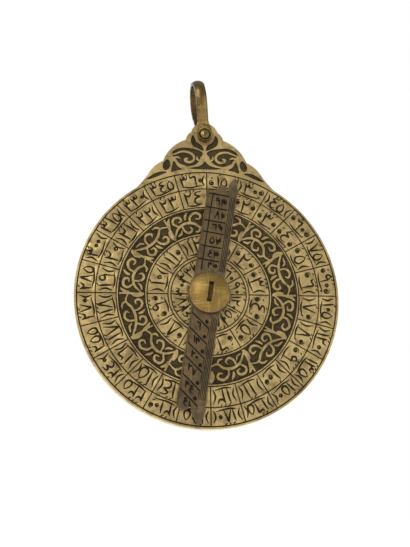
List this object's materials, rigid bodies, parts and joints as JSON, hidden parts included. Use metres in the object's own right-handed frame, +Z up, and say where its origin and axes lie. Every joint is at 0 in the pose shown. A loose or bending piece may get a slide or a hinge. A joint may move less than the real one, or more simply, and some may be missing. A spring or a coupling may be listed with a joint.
{
  "type": "astrolabe",
  "caption": "Pocket astrolabe with a shackle on a scalloped throne, an engraved plate, a forked sighting rule on a domed pin, and a pierced star map over latitude plates.",
  "frame": {"origin": "the point of suspension: the inside of the shackle's arch, in the instrument's middle plane", "axes": "+Z up along the plumb line, -Y out of the engraved side that carries the sighting rule, +Y out of the side that carries the star map, +X to the right as seen from the sighting rule's side"},
  "size_m": [0.0796, 0.014, 0.1103],
  "materials": {
    "plate_brass": "aged, engraved and hand-scraped",
    "tympan_brass": "aged, finely engraved",
    "rete_brass": "aged, filed and chased",
    "dark_brass": "dark patina over a worn, engraved face",
    "golden_brass": "turned and softly polished",
    "shackle_bronze": "handled, with a worn bright crown"
  },
  "bodies": {
    "shackle": {"shackle": "shackle_bronze", "shackle_rivet": "shackle_bronze", "rivet_burr": "shackle_bronze"},
    "mater": {"mater_plate": "plate_brass", "limb": "plate_brass", "tympan_1": "tympan_brass", "tympan_2": "tympan_brass", "tympan_3": "tympan_brass", "tympan_4": "tympan_brass"},
    "alidade": {"alidade": "dark_brass"},
    "rete": {"rete": "rete_brass", "rete_knobs": "golden_brass"},
    "pin": {"pin": "golden_brass", "horse_washer": "golden_brass"},
    "horse": {"horse": "golden_brass"}
  },
  "joints": [
    {"name": "shackle_swivel", "type": "hinge", "parent": "shackle", "child": "mater", "pos_m": [0.002, 0, -0.01754], "axis": [0, 1, 0], "range_deg": [-111.5, 98.5]},
    {"name": "alidade_turn", "type": "hinge", "parent": "mater", "child": "alidade", "pos_m": [0.002, 0, -0.06904], "axis": [0, -1, 0], "continuous": true},
    {"name": "rete_turn", "type": "hinge", "parent": "mater", "child": "rete", "pos_m": [0.002, 0, -0.06904], "axis": [0, 1, 0], "continuous": true},
    {"name": "pin_turn", "type": "hinge", "parent": "mater", "child": "pin", "pos_m": [0.002, 0, -0.06904], "axis": [0, 1, 0], "continuous": true},
    {"name": "wedge_slide", "type": "slide", "parent": "pin", "child": "horse", "axis": [1, 0, 0], "range_m": [0, 0.0095]}
  ]
}
